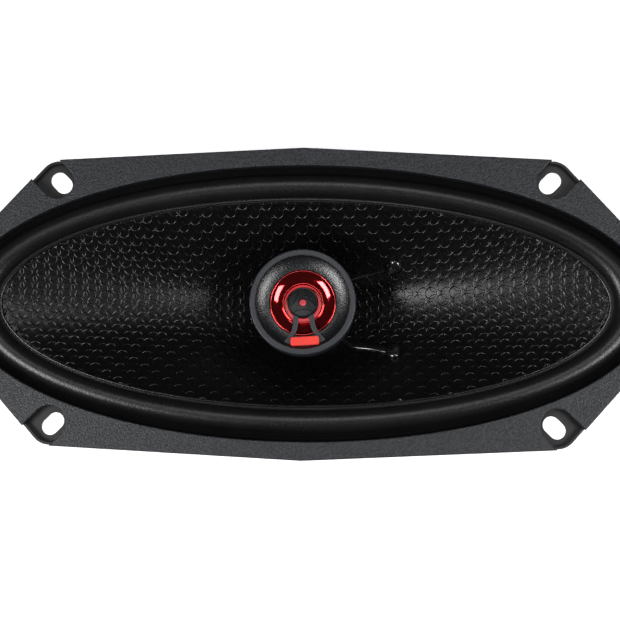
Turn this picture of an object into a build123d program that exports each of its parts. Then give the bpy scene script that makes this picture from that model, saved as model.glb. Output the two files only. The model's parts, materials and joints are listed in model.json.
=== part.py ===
from build123d import *
import math
import os

# Coaxial car speaker, oval 4 x 10 inch class. Millimetres.
# The origin is the centre of the mounting plane (the flange's rear face), +Z is
# the front of the speaker and +X its long axis.

# ---- flange outline ----
FLANGE_HALF_HEIGHT = 53.0        # at x = 0, where the long edges are widest
FLANGE_HALF_LENGTH = 127.0
EDGE_SLOPE = math.radians(2.87)  # the long edges fall away from x = 0
CHAMFER_ANGLE = math.radians(48.05)
CHAMFER_MEETS_AXIS = 131.2       # where the corner chamfers would cross the X axis
CORNER_RADIUS = 7.0
END_RADIUS = 3.0
TRIM_OVERHANG = 0.35             # the trim stands this far outside the steel rim
SHEET = 1.0                      # basket steel
RIM_THICKNESS = 0.8
RIM_TOP = 3.2

# ---- screw slots and the pockets around them ----
SLOT_X = 83.7
SLOT_Y = 41.35
SLOT_WIDTH = 5.8
SLOT_LENGTH = 8.4
POCKET_RADIUS = 5.65
POCKET_SHIFT = 0.7               # towards the speaker's ends, across the slot

# ---- trim ring ----
TRIM_TOP = 4.5
TRIM_EDGE_THICKNESS = 1.2
TRIM_EDGE_RADIUS = 0.4
TRIM_FOOT_INSET = 1.5
TRIM_OPENING = (116.5, 46.7)     # semi-axes along X and Y

# ---- surround, as (long semi-axis, short semi-axis) stations ----
LIP_IN = (102.5, 34.5)
ROLL_IN = (104.2, 36.0)
CREST_IN = (107.7, 39.0)
CREST_OUT = (110.1, 41.0)
ROLL_OUT = (113.6, 44.0)
FOOT_OUT = (119.0, 49.2)
RUBBER = 0.9
CREST_Z = 5.5
FOOT_TOP = 2.0
LIP_TOP = 1.9

# ---- cone ----
CONE_RIM_Z = 1.1
NECK_Z = -25.6
NECK_RADIUS = 13.05
CONE_LIP_OUT = (104.0, 35.8)
CONE_WALL = 0.9
CONE_BACK_GROWTH = 0.35
CONE_FLARE = 1.5                 # the short axis opens as station ** CONE_FLARE
CONE_STATIONS = 4

# ---- basket ----
BASKET_MOUTH = (112.8, 44.2)
SHELF_RADIUS = 39.0
SHELF_Z = -33.0
CUP_RADIUS = 34.0
CUP_FLOOR_Z = -49.0
CUP_HOLE_RADIUS = 14.4
RIB_HALF_WIDTH = 7.0
WINDOW_OUTER = (104.0, 37.5)
WINDOW_INNER_RADIUS = 44.0
SIDE_WINDOW = (36.0, 15.0)
SIDE_WINDOW_Z = -18.0

# ---- motor ----
PLATE_RADIUS = 36.0
TOP_PLATE_THICKNESS = 4.0
MAGNET_RADIUS = 42.5
MAGNET_BORE = 17.0
MAGNET_THICKNESS = 12.5
BACK_PLATE_THICKNESS = 5.0
GAP_RADIUS = 13.95
POLE_RADIUS = 11.9
POLE_BORE = 4.2
POLE_TOP_Z = -49.5
BOOT_RADIUS = 44.6
BOOT_WALL = 1.9
BOOT_OPENING = 26.0
BOOT_BOTTOM_Z = -75.0
BOOT_TOP_Z = -55.0
RIVET_CIRCLE = 25.0
RIVET_SHANK = 1.6
RIVET_HEAD = 2.7

# ---- moving coil and spider ----
FORMER_IN = 12.7
FORMER_OUT = 12.95
FORMER_TOP_Z = -23.5
FORMER_BOTTOM_Z = -57.0
WINDING_OUT = 13.45
WINDING_LENGTH = 9.0
SPIDER_FOOT_IN = 34.6
SPIDER_FOOT_OUT = 37.6
SPIDER_CLOTH = 0.5
SPIDER_WAVES = 4
SPIDER_WAVE_HEIGHT = 2.2

# ---- tweeter ----
BEZEL_RADIUS = 17.9
BEZEL_TOP = 4.1
DISH_OUT = 16.0
DISH_IN = 11.4
FLARE_OUT = 11.2
THROAT_RADIUS = 7.1
PLUG_RADIUS = 5.3
PLUG_TOP = 2.3
PLUG_TURN = 3.7                  # degrees, the legs lean a little to the right
LEG_TOP = 1.9
LEG_THICKNESS = 0.75
LEG_WIDTH = 1.5
LEG_ROUTE = [(2.6, -4.0), (2.9, -7.2), (3.8, -9.6), (6.3, -12.4)]
LEG_FOOT = (11.0, 3.4)
BADGE_SIZE = (9.6, 2.9)
BADGE_Y = -13.1
DOME_RADIUS = 5.9
HOUSING_BOTTOM_Z = -16.0
POST_RADIUS = 5.5
POST_SPIGOT = 4.1
POST_BORE = 1.5

# ---- leads and terminals ----
EYELET_X = 31.0
EYELET_Y = 14.5
EYELET_HOLE = 1.25
EYELET_DROP = 3.4                # how far an eyelet's barrel reaches below the cone's face
BOARD_X = 66.0
BOARD_SIZE = (16.0, 27.0, 1.6)
BOARD_HOLE = 1.3
TERMINAL_Y = 10.0
TINSEL_DIAMETER = 1.4
LEAD_DIAMETER = 1.4
WIRE_DIAMETER = 0.9
COIL_LEAD_DIAMETER = 1.2
COIL_LEAD_RAISE = 0.88           # centre of the wire above the cone's face
COIL_LEAD_ROUTE = [(12.6, 8.6), (15.5, 11.3), (19.6, 13.5), (24.0, 14.4), (27.4, 14.2)]
LEAD_X = 43.45
SLEEVE_TOP = -50.0
CAPACITOR_RADIUS = 3.9
CAPACITOR_LENGTH = 13.0
CAPACITOR_X = 38.2
CAPACITOR_Z = -44.4

NODES = {}


def node(name, shape):
    NODES[name] = shape


def ellipse(semi_axes, z, growth=0.0):
    return Pos(0, 0, z) * Ellipse(semi_axes[0] + growth, semi_axes[1] + growth)


def disc(radius, low, high):
    """A solid cylinder about Z, from one height to another."""
    return Pos(0, 0, low) * extrude(Circle(radius), high - low)


def ring(outer, inner, low, high):
    return disc(outer, low, high) - disc(inner, low - 1, high + 1)


def slab(semi_axes, low, high):
    """An elliptical plate."""
    return extrude(ellipse(semi_axes, low), high - low)


def between(low_axes, low, high_axes, high):
    """A solid with straight sides from one ellipse up to another."""
    return loft([ellipse(low_axes, low), ellipse(high_axes, high)], ruled=True)


def turned(points):
    """A solid turned about Z from its half section, given as (radius, z) points."""
    outline = make_face(Polyline([(r, 0, z) for r, z in points], close=True))
    return revolve(outline, Axis.Z)


def largest(shape):
    return sorted(shape.solids(), key=lambda solid: solid.volume)[-1]


def outline_points(inset):
    """Corners of the flange outline, moved inwards by an even distance."""
    half_height = FLANGE_HALF_HEIGHT - inset / math.cos(EDGE_SLOPE)
    meets_axis = CHAMFER_MEETS_AXIS - inset / math.sin(CHAMFER_ANGLE)
    end_x = FLANGE_HALF_LENGTH - inset
    rise = math.tan(CHAMFER_ANGLE)
    fall = math.tan(EDGE_SLOPE)
    corner_x = (meets_axis * rise - half_height) / (rise - fall)
    corner_y = half_height - corner_x * fall
    end_y = (meets_axis - end_x) * rise
    quarter = [(corner_x, corner_y), (end_x, end_y)]
    right = [(0, half_height)] + quarter + [(x, -y) for x, y in reversed(quarter)]
    left = [(-x, -y) for x, y in right]
    return right + left


def flange_outline(inset, low, high):
    """The eight-sided flange with rounded corners, as a plate."""
    outline = Pos(0, 0, low) * Polygon(outline_points(inset), align=None)
    plate = extrude(outline, high - low, dir=(0, 0, 1))
    upright = plate.edges().filter_by(Axis.Z)
    corners = [e for e in upright if 10 < abs(e.center().X) < SLOT_X + 20]
    plate = fillet(corners, CORNER_RADIUS - inset)
    upright = plate.edges().filter_by(Axis.Z)
    tips = [e for e in upright if abs(e.center().X) > FLANGE_HALF_LENGTH - inset - 0.01]
    return fillet(tips, END_RADIUS)


def corner_places():
    """Centre and outward turn of each corner slot, in degrees about Z."""
    for side_x, side_y in [(1, 1), (-1, 1), (-1, -1), (1, -1)]:
        turn = math.degrees(math.atan2(side_y, side_x))
        yield side_x, side_y, turn


def slots(low, high):
    shapes = []
    for side_x, side_y, turn in corner_places():
        place = Pos(side_x * SLOT_X, side_y * SLOT_Y, low) * Rot(0, 0, turn)
        shapes.append(place * extrude(SlotOverall(SLOT_LENGTH, SLOT_WIDTH), high - low))
    return shapes


def pockets(low, high):
    """U-shaped cut-outs that open each corner of the trim down to the steel."""
    shapes = []
    reach = 22.0
    for side_x, side_y, turn in corner_places():
        across = -POCKET_SHIFT * side_x * side_y
        place = Pos(side_x * SLOT_X, side_y * SLOT_Y, low) * Rot(0, 0, turn)
        outline = Pos(0, across) * Circle(POCKET_RADIUS)
        outline += Pos(reach / 2, across) * Rectangle(reach, 2 * POCKET_RADIUS)
        shapes.append(place * extrude(outline, high - low))
    return shapes


def cone_section(station):
    """Semi-axes and height of the cone's front face, 0 at the neck and 1 at the rim."""
    long_axis = NECK_RADIUS + (LIP_IN[0] - NECK_RADIUS) * station
    short_axis = NECK_RADIUS + (LIP_IN[1] - NECK_RADIUS) * station ** CONE_FLARE
    height = NECK_Z + (CONE_RIM_Z - NECK_Z) * station
    return (long_axis, short_axis), height


def cone_height(x, y):
    """Height of the cone's front face over a point of the plan."""
    low, high = 0.0, 1.0
    for _ in range(40):
        station = (low + high) / 2
        (long_axis, short_axis), _height = cone_section(station)
        if (x / long_axis) ** 2 + (y / short_axis) ** 2 > 1:
            low = station
        else:
            high = station
    return cone_section(station)[1]


def make_basket():
    flange = flange_outline(TRIM_OVERHANG, 0, RIM_TOP)
    flange -= flange_outline(TRIM_OVERHANG + RIM_THICKNESS, SHEET, RIM_TOP + 1)
    outer_mouth = (BASKET_MOUTH[0] + 2.2, BASKET_MOUTH[1] + 1.0)
    shell = between((SHELF_RADIUS, SHELF_RADIUS), SHELF_Z - SHEET, outer_mouth, 0)
    inner = (SHELF_RADIUS - SHEET, SHELF_RADIUS - SHEET)
    hollow = between(inner, SHELF_Z, BASKET_MOUTH, 0)
    cup = disc(CUP_RADIUS, CUP_FLOOR_Z - SHEET, SHELF_Z - SHEET)
    cup_hollow = disc(CUP_RADIUS - SHEET, CUP_FLOOR_Z, SHELF_Z)
    body = flange + shell + cup - hollow - cup_hollow - slab(BASKET_MOUTH, -0.01, SHEET + 1)
    body -= disc(CUP_HOLE_RADIUS, CUP_FLOOR_Z - 2, CUP_FLOOR_Z + 2)
    for x, y in circle_places(4, RIVET_CIRCLE, 45):
        body -= Pos(x, y, 0) * disc(RIVET_SHANK, CUP_FLOOR_Z - 2, CUP_FLOOR_Z + 2)
    for cutter in slots(-1, SHEET + 1) + end_windows() + side_windows() + cup_vents():
        body -= cutter
    return body - board_plane() * disc(BOARD_HOLE, -4, 1)


def end_windows():
    """Four windows in the sloping ends, two each side of the rib on the X axis."""
    plan = Ellipse(*WINDOW_OUTER) - Circle(WINDOW_INNER_RADIUS)
    cutters = []
    for side_x in (1, -1):
        for side_y in (1, -1):
            corner = Pos(side_x * 90, side_y * (RIB_HALF_WIDTH + 30)) * Rectangle(100, 60)
            window = extrude(Pos(0, 0, -58) * (plan & corner), 60)
            cutters.append(fillet(window.edges().filter_by(Axis.Z), 2.0))
    return cutters


def side_windows():
    """One long rounded window in each long side."""
    width, height = SIDE_WINDOW
    panel = Plane.XZ * RectangleRounded(width, height, 4.0)
    cutter = extrude(panel, 14)
    return [Pos(0, side * 43 + 7, SIDE_WINDOW_Z) * cutter for side in (1, -1)]


def cup_vents():
    """Small vents round the cup, under the spider."""
    panel = Plane.YZ * RectangleRounded(12.0, 5.0, 2.0)
    vent = Pos(CUP_RADIUS - 4, 0, SHELF_Z - 9) * extrude(panel, 8)
    return [Rot(0, 0, 30 + 60 * step) * vent for step in range(6)]


def circle_places(count, radius, first):
    for step in range(count):
        angle = math.radians(first + 360 * step / count)
        yield radius * math.cos(angle), radius * math.sin(angle)


def make_trim_ring():
    face = flange_outline(0, TRIM_TOP - TRIM_EDGE_THICKNESS, TRIM_TOP)
    foot = flange_outline(TRIM_FOOT_INSET, SHEET, TRIM_TOP - 0.5)
    foot -= slab(FOOT_OUT, 0, FOOT_TOP + 0.05)
    body = face + foot - slab(TRIM_OPENING, 0, TRIM_TOP + 1)
    for cutter in pockets(0, TRIM_TOP + 1):
        body -= cutter
    return fillet(body.faces().sort_by(Axis.Z)[-1].edges(), TRIM_EDGE_RADIUS)


def make_surround():
    lip = slab(CREST_IN, CONE_RIM_Z, LIP_TOP) - slab(LIP_IN, 0, LIP_TOP + 1)
    foot = slab(FOOT_OUT, SHEET, FOOT_TOP) - slab(CREST_OUT, 0, FOOT_TOP + 1)
    roll = between(ROLL_OUT, FOOT_TOP, CREST_OUT, CREST_Z)
    roll -= between(ROLL_IN, FOOT_TOP, CREST_IN, CREST_Z)
    base = slab(ROLL_OUT, CONE_RIM_Z, FOOT_TOP) - slab(ROLL_IN, 0, FOOT_TOP + 1)
    inner_out = tuple(axis - RUBBER for axis in ROLL_OUT)
    inner_in = tuple(axis + RUBBER for axis in ROLL_IN)
    crest_out = tuple(axis - 0.5 * RUBBER for axis in CREST_OUT)
    crest_in = tuple(axis + 0.5 * RUBBER for axis in CREST_IN)
    tunnel = between(inner_out, 0, crest_out, CREST_Z - RUBBER)
    tunnel -= between(inner_in, 0, crest_in, CREST_Z - RUBBER)
    return lip + foot + roll + base - tunnel


def make_cone():
    fronts = []
    backs = []
    for step in range(CONE_STATIONS + 1):
        axes, height = cone_section(step / CONE_STATIONS)
        fronts.append(ellipse(axes, height))
        backs.append(ellipse(axes, height - CONE_WALL, CONE_BACK_GROWTH))
    shell = loft(backs, ruled=True)
    shell += slab(CONE_LIP_OUT, CONE_RIM_Z - CONE_WALL, CONE_RIM_Z)
    shell += disc(NECK_RADIUS + 1.4, NECK_Z - 2.0, NECK_Z + 0.5)
    shell -= loft(fronts, ruled=True)
    shell -= disc(NECK_RADIUS, NECK_Z - 5, NECK_Z + 5)
    for side in (1, -1):
        shell -= Pos(EYELET_X, side * EYELET_Y, 0) * disc(EYELET_HOLE, NECK_Z, 5)
    return shell


def make_spider():
    """Corrugated cloth disc: straight-sided waves between a collar and a flat foot."""
    base = SHELF_Z
    inner = FORMER_OUT + 0.1
    radii = [inner, inner + 2.0]
    heights = [0.0, 0.0]
    step = (SPIDER_FOOT_IN - radii[1] - 1.0) / (2 * SPIDER_WAVES)
    for count in range(1, 2 * SPIDER_WAVES):
        radii.append(radii[1] + count * step)
        heights.append(SPIDER_WAVE_HEIGHT / 2 * (1 if count % 2 else -1))
    radii += [SPIDER_FOOT_IN - 1.0, SPIDER_FOOT_OUT]
    heights += [0.0, 0.0]
    lower = [(r, base + h) for r, h in zip(radii, heights)]
    upper = [(r, z + SPIDER_CLOTH) for r, z in reversed(lower)]
    return turned(lower + upper)


def make_top_plate():
    top = CUP_FLOOR_Z - SHEET
    plate = ring(PLATE_RADIUS, GAP_RADIUS, top - TOP_PLATE_THICKNESS, top)
    for x, y in circle_places(4, RIVET_CIRCLE, 45):
        plate -= Pos(x, y, 0) * disc(RIVET_SHANK, top - TOP_PLATE_THICKNESS, top)
    return plate


def make_frame_rivets():
    top = CUP_FLOOR_Z
    shapes = []
    for x, y in circle_places(4, RIVET_CIRCLE, 45):
        shank = disc(RIVET_SHANK - 0.05, top - SHEET - TOP_PLATE_THICKNESS, top)
        head = disc(RIVET_HEAD, top, top + 1.1)
        head = chamfer(head.faces().sort_by(Axis.Z)[-1].edges(), 0.5)
        shapes.append(Pos(x, y, 0) * (shank + head))
    return Compound(shapes)


def make_motor():
    plate_low = CUP_FLOOR_Z - SHEET - TOP_PLATE_THICKNESS
    magnet_low = plate_low - MAGNET_THICKNESS
    back_low = magnet_low - BACK_PLATE_THICKNESS
    magnet = ring(MAGNET_RADIUS, MAGNET_BORE, magnet_low, plate_low)
    magnet = chamfer(magnet.faces().sort_by(Axis.Z)[-1].edges(), 0.8)
    node("top_plate", make_top_plate())
    node("magnet", magnet)
    yoke = disc(PLATE_RADIUS, back_low, magnet_low)
    yoke = chamfer(yoke.faces().sort_by(Axis.Z)[0].edges(), 1.5)
    yoke += disc(POLE_RADIUS, back_low + 1, POLE_TOP_Z)
    node("back_plate", yoke - disc(POLE_BORE, back_low - 1, POLE_TOP_Z + 1))
    node("frame_rivets", make_frame_rivets())
    node("magnet_boot", make_boot(back_low))


def make_boot(back_low):
    """Rubber cover with a ring underneath and a channel for the tweeter's lead."""
    boot = disc(BOOT_RADIUS, BOOT_BOTTOM_Z, BOOT_TOP_Z)
    boot = fillet(boot.faces().sort_by(Axis.Z)[0].edges(), 1.5)
    boot -= disc(BOOT_RADIUS - BOOT_WALL, back_low - 0.05, BOOT_TOP_Z + 1)
    boot -= disc(BOOT_OPENING, BOOT_BOTTOM_Z - 1, BOOT_TOP_Z)
    width = LEAD_DIAMETER + 0.8
    under = Pos(35, 0, BOOT_BOTTOM_Z + 0.5) * Box(24, width, 3.0)
    side = Pos(BOOT_RADIUS, 0, -64) * Box(2 * BOOT_WALL + 0.4, width, 30)
    return boot - under - side


def make_post_and_nut():
    end_z = -72.8
    post = disc(POST_RADIUS, POLE_TOP_Z, HOUSING_BOTTOM_Z)
    post += disc(POST_SPIGOT - 0.1, end_z, POLE_TOP_Z)
    post += disc(POST_SPIGOT - 0.1, HOUSING_BOTTOM_Z, HOUSING_BOTTOM_Z + 1.5)
    node("tweeter_post", post - disc(POST_BORE, end_z - 1, 0))
    nut = extrude(Pos(0, 0, end_z - 0.3) * RegularPolygon(6.5, 6, major_radius=False), 1.6)
    node("post_nut", nut - disc(POST_SPIGOT - 0.05, end_z - 1, end_z + 3))


def make_tweeter():
    bezel = [(BEZEL_RADIUS, BEZEL_TOP), (BEZEL_RADIUS, -1.0), (BEZEL_RADIUS - 1.2, -1.0)]
    bezel += [(BEZEL_RADIUS - 1.2, 2.6), (14.2, 0.6), (DISH_IN, -0.6), (DISH_IN, 0.6)]
    bezel += [(13.2, 1.5), (15.0, 2.9), (DISH_OUT, BEZEL_TOP - 0.2), (DISH_OUT, BEZEL_TOP)]
    node("tweeter_bezel", turned(bezel))
    flare = [(FLARE_OUT, 1.1), (FLARE_OUT, -5.0), (7.9, -5.0), (7.9, -4.2)]
    flare += [(THROAT_RADIUS, -4.2), (THROAT_RADIUS, -2.6), (8.0, -1.6), (9.6, 0.2), (10.6, 1.1)]
    node("tweeter_flare", turned(flare))
    shell = [(BEZEL_RADIUS - 1.3, -1.0), (BEZEL_RADIUS - 1.3, 0.0), (BEZEL_RADIUS - 2.6, 0.0)]
    shell += [(BEZEL_RADIUS - 2.6, -2.0), (10.8, -14.5), (POST_SPIGOT, -14.5)]
    shell += [(POST_SPIGOT, HOUSING_BOTTOM_Z), (10.8, HOUSING_BOTTOM_Z), (BEZEL_RADIUS, -4.5)]
    shell += [(BEZEL_RADIUS, -1.0)]
    node("tweeter_housing", turned(shell))
    node("tweeter_yoke", ring(8.4, 6.7, -12.6, -6.3) + disc(8.4, -14.4, -12.6))
    node("tweeter_magnet", disc(4.8, -12.6, -9.6))
    node("tweeter_pole_plate", disc(5.3, -9.6, -7.6))
    node("tweeter_dome_frame", ring(8.4, 6.6, -6.3, -5.1))
    dome = Pos(0, 0, -11.45) * (Sphere(8.4) - Sphere(8.2))
    node("tweeter_dome", dome & disc(DOME_RADIUS, -5.5, 0))
    node("tweeter_coil", ring(6.0, 5.6, -8.8, -5.5))
    node("phase_plug", make_phase_plug())
    badge = Pos(0, BADGE_Y, LEG_TOP) * extrude(RectangleRounded(*BADGE_SIZE, 0.8), 1.0)
    node("badge_plate", Rot(0, 0, PLUG_TURN) * badge - NODES["tweeter_bezel"])


def make_phase_plug():
    """Cap over the dome, with two curved legs down to their foot on the bezel."""
    cap = disc(PLUG_RADIUS, -0.6, PLUG_TOP)
    cap = fillet(cap.faces().sort_by(Axis.Z)[-1].edges(), 0.8)
    cap -= disc(1.2, -2, PLUG_TOP + 1)
    leg_low = LEG_TOP - LEG_THICKNESS
    for side in (1, -1):
        path = Polyline([(side * x, y) for x, y in LEG_ROUTE])
        leg = Pos(0, 0, leg_low) * make_face(offset(path, LEG_WIDTH / 2, kind=Kind.ARC))
        cap += extrude(leg, LEG_THICKNESS, dir=(0, 0, 1))
    cap += Pos(0, BADGE_Y, leg_low) * extrude(RectangleRounded(*LEG_FOOT, 0.6), LEG_THICKNESS)
    cap = Rot(0, 0, PLUG_TURN) * cap
    return largest(cap - NODES["tweeter_bezel"] - NODES["tweeter_flare"])


def board_plane():
    """Frame on the rear of the sloping rib: x up the slope, z away from the wall."""
    run = BASKET_MOUTH[0] + 2.2 - SHELF_RADIUS
    drop = SHEET - SHELF_Z
    length = math.hypot(run, drop)
    along = (run / length, 0, drop / length)
    outwards = (drop / length, 0, -run / length)
    z = -drop * (BASKET_MOUTH[0] + 2.2 - BOARD_X) / run
    return Plane(origin=(BOARD_X, 0, z), x_dir=along, z_dir=outwards)


def make_terminals():
    plane = board_plane()
    length, width, thickness = BOARD_SIZE
    board = extrude(RectangleRounded(length, width, 2.0), thickness)
    holes = [(0, TERMINAL_Y), (0, -TERMINAL_Y), (0, 0)]
    for x, y in holes:
        board -= Pos(x, y, 0) * disc(BOARD_HOLE, -1, thickness + 1)
    node("terminal_board", plane * board)
    for name, blade_width, y in [("positive", 4.75, -TERMINAL_Y), ("negative", 2.8, TERMINAL_Y)]:
        foot = Pos(1.6, y, thickness + 0.4) * Box(9.2, 5.4, 0.8)
        foot -= Pos(0, y, 0) * disc(BOARD_HOLE, 0, thickness + 1)
        blade = Pos(5.8, y, thickness + 4.2) * Box(0.8, blade_width, 6.8)
        node("terminal_" + name, plane * (foot + blade))
    rivets = []
    for x, y in holes:
        lower = 1.5 if y == 0 else 0.8
        top = thickness + (0.0 if y == 0 else 0.8)
        rivet = disc(1.2, -lower, top) + disc(2.2, top, top + 0.7)
        rivet += disc(2.0, -lower - 0.6, -lower)
        rivets.append(plane * (Pos(x, y, 0) * rivet))
    node("terminal_rivets", Compound(rivets))


def tube(points, diameter, name):
    """Round lead along straight runs joined by arcs as large as the runs allow."""
    places = [Vector(*point) for point in points]
    radii = []
    for before, here, after in zip(places, places[1:], places[2:]):
        turn = math.radians((here - before).get_angle(after - here))
        run = min((here - before).length, (after - here).length)
        radii.append(0.45 * run / math.tan(turn / 2))
    path = FilletPolyline(*places, radius=radii)
    solid = sweep(Plane(path @ 0, z_dir=path % 0) * Circle(diameter / 2), path)
    section = math.pi * diameter ** 2 / 4
    print(name, "length", round(path.length, 2), "radii", [round(r, 1) for r in radii],
          "volume ratio", round(solid.volume / (section * path.length), 4))
    return solid


def make_leads():
    plane = board_plane()
    for name, side in [("upper", 1), ("lower", -1)]:
        top = cone_height(EYELET_X, EYELET_Y)
        blob = Pos(0, 0, -1.2) * extrude(Circle(3.2), 3.2, taper=18)
        barrel = disc(EYELET_HOLE - 0.05, -EYELET_DROP, 0)
        eyelet = Pos(EYELET_X, side * EYELET_Y, top) * (blob + barrel)
        node("eyelet_" + name, largest(eyelet - NODES["cone"]))
        lug = plane.from_local_coords(Vector(0, -side * TERMINAL_Y, -1.4))
        start = Vector(EYELET_X, side * EYELET_Y, top - EYELET_DROP)
        points = [start, start + Vector(0, 0, -4.0), start + Vector(6.0, -side * 0.6, -8.0),
                  start + Vector(14.0, -side * 1.4, -9.4), start + Vector(22.0, -side * 2.6, -8.6),
                  lug + Vector(-5.0, side * 0.8, 3.2), lug + Vector(-0.9, 0, 1.3)]
        node("tinsel_lead_" + name, tube([tuple(p) for p in points], TINSEL_DIAMETER, name))


def make_coil_leads():
    """Enamelled wires bedded in glue up the front of the cone, neck to eyelet."""
    for name, side in [("upper", 1), ("lower", -1)]:
        points = []
        for x, y in COIL_LEAD_ROUTE:
            points.append((x, side * y, cone_height(x, y) + COIL_LEAD_RAISE))
        node("coil_lead_" + name, tube(points, COIL_LEAD_DIAMETER, "coil lead " + name))


def make_crossover():
    """Capacitor glued to the cup, in line with the tweeter's lead."""
    half = CAPACITOR_LENGTH / 2
    capacitor = extrude(Plane.XZ * Circle(CAPACITOR_RADIUS), CAPACITOR_LENGTH)
    capacitor = Pos(CAPACITOR_X, half, CAPACITOR_Z) * fillet(capacitor.edges(), 0.5)
    node("crossover_capacitor", capacitor)
    bed = Pos(CAPACITOR_X - 3.0, 0, CAPACITOR_Z) * Box(5.0, 9.0, 5.0)
    bed -= disc(CUP_RADIUS, CAPACITOR_Z - 9, CAPACITOR_Z + 9)
    node("capacitor_glue", largest(bed - capacitor))
    plane = board_plane()
    foot_z = BOARD_SIZE[2] + 0.55
    near_end = (CAPACITOR_X, half, CAPACITOR_Z)
    points = [near_end, (CAPACITOR_X, half + 3.0, CAPACITOR_Z), (42.5, half + 5.6, -43.6),
              (49.0, half + 5.5, -40.0)]
    for x, y, z in [(-12.0, -TERMINAL_Y - 0.5, 6.0), (-6.5, -TERMINAL_Y, 2.9), (-3.0, -TERMINAL_Y, foot_z)]:
        points.append(tuple(plane.from_local_coords(Vector(x, y, z))))
    node("capacitor_lead", tube(points, WIRE_DIAMETER, "capacitor lead"))
    far_end = (CAPACITOR_X, -half, CAPACITOR_Z)
    points = [(LEAD_X, -0.55, SLEEVE_TOP), (LEAD_X, -0.55, -47.4), (43.2, -5.5, -45.3),
              (41.0, -9.6, -44.8), (CAPACITOR_X + 0.2, -half - 3.0, -44.5), far_end]
    node("core_to_capacitor", tube(points, WIRE_DIAMETER, "core to capacitor"))
    points = [(LEAD_X, 0.55, SLEEVE_TOP), (LEAD_X, 0.55, -47.2), (47.5, -2.2, -43.5)]
    for x, y, z in [(-12.0, TERMINAL_Y - 1.5, 6.5), (-6.5, TERMINAL_Y, 2.9), (-3.0, TERMINAL_Y, foot_z)]:
        points.append(tuple(plane.from_local_coords(Vector(x, y, z))))
    node("core_to_terminal", tube(points, WIRE_DIAMETER, "core to terminal"))
    node("lead_sleeve", Pos(LEAD_X, 0, 0) * disc(1.1, SLEEVE_TOP - 3.8, SLEEVE_TOP))


def make_tweeter_lead():
    """Two-core lead down the post, along the boot's channel and up its side."""
    low = BOOT_BOTTOM_Z + 0.9
    points = [(0, 0, low + 3.0), (0, 0, low), (3.0, 0.1, low), (14.0, -0.15, low), (27.0, 0.15, low),
              (LEAD_X - 3.3, -0.1, low), (LEAD_X, 0, low), (LEAD_X, 0.1, low + 3.3),
              (LEAD_X, -0.1, low + 11.0), (LEAD_X, 0, SLEEVE_TOP - 3.8)]
    node("tweeter_lead", tube(points, LEAD_DIAMETER, "tweeter lead"))


def build():
    node("basket", make_basket())
    node("trim_ring", make_trim_ring())
    node("surround", make_surround())
    node("cone", make_cone())
    node("voice_coil_former", ring(FORMER_OUT, FORMER_IN, FORMER_BOTTOM_Z, FORMER_TOP_Z))
    gap_z = CUP_FLOOR_Z - SHEET - TOP_PLATE_THICKNESS / 2
    half = WINDING_LENGTH / 2
    node("voice_coil_winding", ring(WINDING_OUT, FORMER_OUT, gap_z - half, gap_z + half))
    node("spider", make_spider())
    make_motor()
    make_post_and_nut()
    make_tweeter()
    make_terminals()
    make_leads()
    make_coil_leads()
    make_crossover()
    make_tweeter_lead()


build()
os.makedirs("parts", exist_ok=True)
for name, shape in NODES.items():
    export_step(shape, "parts/" + name + ".step")
print(len(NODES), "nodes")
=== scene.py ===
import json
import math
import bmesh
import bpy
import numpy as np
from mathutils import Matrix, Vector
from mathutils.geometry import delaunay_2d_cdt


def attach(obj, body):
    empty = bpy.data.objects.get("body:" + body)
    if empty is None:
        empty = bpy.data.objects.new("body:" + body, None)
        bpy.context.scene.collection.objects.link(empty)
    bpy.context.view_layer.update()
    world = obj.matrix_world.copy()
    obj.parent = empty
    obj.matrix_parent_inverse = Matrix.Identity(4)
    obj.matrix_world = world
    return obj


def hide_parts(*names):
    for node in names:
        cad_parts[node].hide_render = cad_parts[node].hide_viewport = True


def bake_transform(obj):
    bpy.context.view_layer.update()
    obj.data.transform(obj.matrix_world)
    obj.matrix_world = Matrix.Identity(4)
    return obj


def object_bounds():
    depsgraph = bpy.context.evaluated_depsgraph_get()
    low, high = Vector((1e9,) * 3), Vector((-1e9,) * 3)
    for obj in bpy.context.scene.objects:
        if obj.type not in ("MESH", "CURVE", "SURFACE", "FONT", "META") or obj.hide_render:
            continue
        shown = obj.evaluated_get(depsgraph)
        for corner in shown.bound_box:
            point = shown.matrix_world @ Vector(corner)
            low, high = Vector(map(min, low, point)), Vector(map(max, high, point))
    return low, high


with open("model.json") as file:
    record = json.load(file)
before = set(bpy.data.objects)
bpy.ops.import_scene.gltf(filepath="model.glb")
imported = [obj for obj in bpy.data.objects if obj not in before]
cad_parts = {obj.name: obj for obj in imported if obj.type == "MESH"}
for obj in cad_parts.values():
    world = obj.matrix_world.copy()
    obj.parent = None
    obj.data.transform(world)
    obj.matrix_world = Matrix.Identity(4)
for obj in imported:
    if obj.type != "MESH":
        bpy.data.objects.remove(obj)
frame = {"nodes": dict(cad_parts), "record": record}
CAD_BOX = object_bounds()

# Coaxial car speaker. Its sizes are in millimetres, as in part.py, and turned into
# metres where a mesh or a cord is made. The stage is laid out in metres.
MM = 0.001
CREASE = math.radians(28)        # edges sharper than this stay crisp
AROUND = 384                     # points round an ellipse or a large circle

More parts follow.
